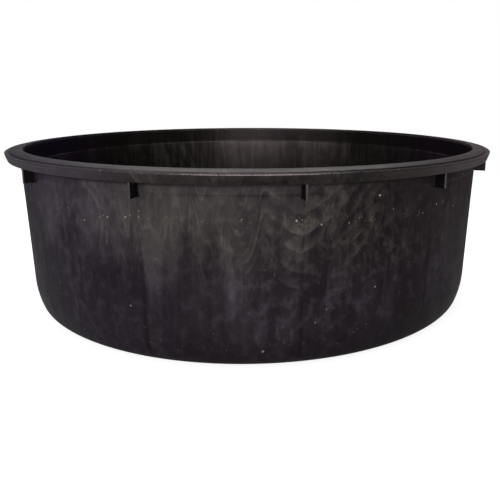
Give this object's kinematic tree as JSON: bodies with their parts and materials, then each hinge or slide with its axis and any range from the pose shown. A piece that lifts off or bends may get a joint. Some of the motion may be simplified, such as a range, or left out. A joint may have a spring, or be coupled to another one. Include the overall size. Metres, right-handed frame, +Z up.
{
  "type": "mortar mixing tub",
  "caption": "Wide, low, round open tub of black recycled plastic with a rounded heel, near-vertical wall and a flanged rim with a turned-down skirt stiffened by radial gussets.",
  "frame": {"origin": "on the ground under the centre of the tub", "axes": "+Z up along the tub's axis of revolution; the view of the picture looks along +Y, so the front is -Y; the first gusset to the right of the front is 9 degrees from -Y towards +X"},
  "size_m": [0.9796, 0.9796, 0.308],
  "materials": {
    "tub_plastic": "satin black recycled polyethylene with faint smoky flow marks"
  },
  "bodies": {
    "root": {"floor_panel": "tub_plastic", "foot_ring": "tub_plastic", "heel": "tub_plastic", "side_wall": "tub_plastic", "wall_collar": "tub_plastic", "rim_flange": "tub_plastic", "rim_bead": "tub_plastic", "rim_skirt": "tub_plastic", "gusset_01": "tub_plastic", "gusset_02": "tub_plastic", "gusset_03": "tub_plastic", "gusset_04": "tub_plastic", "gusset_05": "tub_plastic", "gusset_06": "tub_plastic", "gusset_07": "tub_plastic", "gusset_08": "tub_plastic", "gusset_09": "tub_plastic", "gusset_10": "tub_plastic", "gusset_11": "tub_plastic", "gusset_12": "tub_plastic"}
  },
  "joints": []
}
